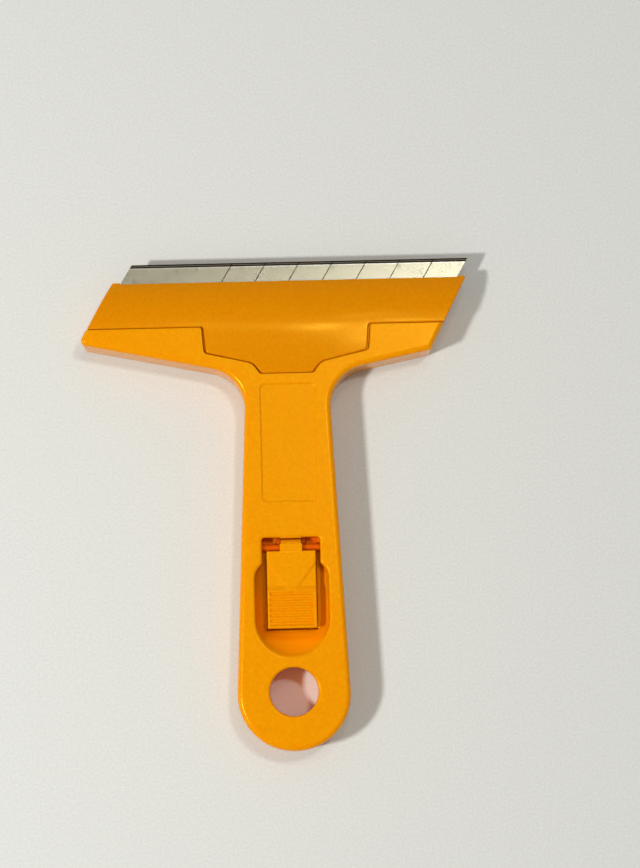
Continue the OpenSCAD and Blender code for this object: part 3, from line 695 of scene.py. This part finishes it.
def blade_steel():
    """The blade: pale ground faces, a bevel painted with dark reflection in two steps and pale
    painted highlight lines, scores and light scuffs.
    """
    base = srgb(216, 210, 182)
    mat, tree, shader = material("blade_steel", base, 0.25, 1.0)
    at = own_place(tree)
    back = maths(tree, "SUBTRACT", REACH * MM, at["Y"])
    back = maths(tree, "DIVIDE", back, MM * math.cos(TILT))
    # Painted reflection: dark bands and pale highlight lines across the bevel
    dark, mid, bevel_glint = srgb(40, 32, 24), srgb(190, 178, 152), srgb(255, 252, 236)
    bevel_reflection = ramp(tree, maths(tree, "DIVIDE", back, 4 * BLADE["bevel"]), [
        (0.0, srgb(110, 102, 88)), (0.02, dark), (0.08, dark), (0.09, mid), (0.125, mid),
        (0.14, srgb(36, 28, 20)), (0.21, srgb(48, 40, 30)), (0.225, bevel_glint), (0.27, bevel_glint),
        (0.29, base)])
    # Scores lie at whole pitches from the right end, along the slant
    along = maths(tree, "DIVIDE", maths(tree, "SUBTRACT", at["X"], EDGE_X * MM), MM)
    along = maths(tree, "ADD", along, maths(tree, "MULTIPLY", back, math.tan(SLANT)))
    count = maths(tree, "SUBTRACT", BLADE["length"], along)
    count = maths(tree, "DIVIDE", count, BLADE["pitch"])
    off = maths(tree, "ABSOLUTE", maths(tree, "SUBTRACT", count, maths(tree, "ROUND", count)))
    past_last = maths(tree, "GREATER_THAN", count, BLADE["scores"] + 0.5)
    off = maths(tree, "MAXIMUM", off, past_last)
    off = maths(tree, "MAXIMUM", off, maths(tree, "LESS_THAN", count, 0.5))
    scored = ramp(tree, maths(tree, "MULTIPLY", off, 10), [
        (0.0, srgb(80, 72, 56)), (0.13, srgb(90, 80, 62)), (0.2, grey(1.0)), (1.0, grey(1.0))])
    lines = noise(tree, 1.0, 4, (0.05, 6, 1))
    worn = ramp(tree, lines, [(0.3, grey(0.95)), (0.7, grey(1.0))])
    scuffs = ramp(tree, noise(tree, 0.5, 6, (1, 0.6, 1)), [(0.28, grey(0.80)), (0.40, grey(1.0))])
    colour = multiply(tree, multiply(tree, bevel_reflection, scored), multiply(tree, worn, scuffs))
    tree.links.new(colour, shader.inputs["Base Color"])
    rough = ramp(tree, noise(tree, 0.4, 5), [(0.3, grey(0.22)), (0.8, grey(0.26))])
    tree.links.new(rough, shader.inputs["Roughness"])
    bump(tree, shader, lines, 0.04, 0.005)
    return mat


def paper():
    mat, tree, shader = material("paper", srgb(219, 220, 214), 0.85, Specular_IOR_Level=0.2)
    tint = ramp(tree, noise(tree, 1.4, 6), [(0.3, srgb(213, 214, 208)), (0.7, srgb(223, 224, 218))])
    tree.links.new(tint, shader.inputs["Base Color"])
    bump(tree, shader, noise(tree, 1.2, 3), 0.2, 0.02)
    return mat


def add_floor(size=1.6):
    mesh = bpy.data.meshes.new("floor")
    corners = [(-size, -size, 0), (size, -size, 0), (size, size, 0), (-size, size, 0)]
    mesh.from_pydata(corners, [], [(0, 1, 2, 3)])
    floor = bpy.data.objects.new("floor", mesh)
    bpy.context.scene.collection.objects.link(floor)
    floor.data.materials.append(paper())


def add_lamp(name, direction, distance, size, share):
    """A square lamp that gives this share of full brightness on a surface facing up."""
    way = unit(direction)
    light = bpy.data.lights.new(name, "AREA")
    light.size = size
    light.energy = share * math.pi ** 2 * distance ** 2 / way[2]
    lamp = bpy.data.objects.new(name, light)
    bpy.context.scene.collection.objects.link(lamp)
    target = Vector((0, 0.06, 0))
    lamp.location = target + Vector(way) * distance
    lamp.rotation_euler = Vector(way).to_track_quat("Z", "Y").to_euler()


def add_light():
    add_lamp("lamp_left", (-10.2, -3.7, 15), 0.9, 0.07, 0.50)
    add_lamp("lamp_right", (3.1, 2.9, 15), 1.3, 0.10, 0.17)
    add_lamp("lamp_far", (2.1, 7.0, 15), 1.3, 0.12, 0.016)
    add_lamp("lamp_above", (0.5, 4.0, 15), 1.31, 0.08, 0.04)
    world = bpy.data.worlds.new("room")
    bpy.context.scene.world = world
    world.use_nodes = True
    world.node_tree.nodes["Background"].inputs["Color"].default_value = (1, 0.98, 0.95, 1)
    world.node_tree.nodes["Background"].inputs["Strength"].default_value = 0.31


def add_camera():
    data = bpy.data.cameras.new("photo")
    data.sensor_fit = "VERTICAL"
    data.sensor_height = 36
    data.lens = FOCAL_PX * data.sensor_height / FRAME_H_PX
    data.clip_start = 0.01
    camera = bpy.data.objects.new("photo", data)
    bpy.context.scene.collection.objects.link(camera)
    eye, aim = Vector(EYE) * MM, Vector(AIM) * MM
    back = (eye - aim).normalized()
    up = Vector((0, 1, 0))
    up = (up - back * up.dot(back)).normalized()
    turn = Matrix((up.cross(back), up, back)).transposed() @ Matrix.Rotation(ROLL, 3, "Z")
    camera.matrix_world = Matrix.Translation(eye) @ turn.to_4x4()
    bpy.context.scene.camera = camera


add_camera()
add_light()
add_floor()

handle_plastic = plastic("handle_plastic", (239, 154, 4), 0.7, 0.21, 0.5, handle=True)
head_plastic = plastic("head_plastic", (226, 141, 4), 0.1, 0.18, 0.55)
button_plastic = plastic("button_plastic", (241, 155, 4), 0.1, 0.22, 0.5)
# Painted shade: the axle's plastic is the orange darkened and reddened as it looks in shade
shaded_pin_plastic = plastic("shaded_pin_plastic", (214, 92, 6), 0.2, 0.3, 0.4)

shell_piece = piece("handle_body", shell, (-61, -18, -0.5), (56, 122, 15.5), 0.3)
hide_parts("handle_shell")
cover_piece = piece("head_clamp", cover, (-60, 46, 7), (58, 123, 15.5), 0.22)
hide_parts("head_cover")
button_piece = piece("button_pad", button, (-8, 17.5, 9), (8, 45.5, 15.5), 0.12)
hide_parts("release_button")
for made, body, mat in (
        (shell_piece, "handle", handle_plastic),
        (cover_piece, "head", head_plastic),
        (button_piece, "button", button_plastic)):
    made.data.materials.append(mat)
    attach(made, body)

spring = steel("spring_steel", srgb(150, 150, 154), 0.3, (0.1, 4, 1))
zinc = steel("screw_steel", srgb(170, 168, 160), 0.35, (2, 2, 2))
cad_looks = {"blade": blade_steel(), "back_plate": handle_plastic, "button_pin": shaded_pin_plastic,
             "latch_spring": spring, "latch_rivet": spring}
for i in range(4):
    cad_looks[f"back_screw_{i + 1}"] = zinc
for name, mat in cad_looks.items():
    data = nodes[name].data
    for slot in range(len(data.materials)):
        data.materials[slot] = mat

bpy.context.scene.view_settings.view_transform = "Standard"
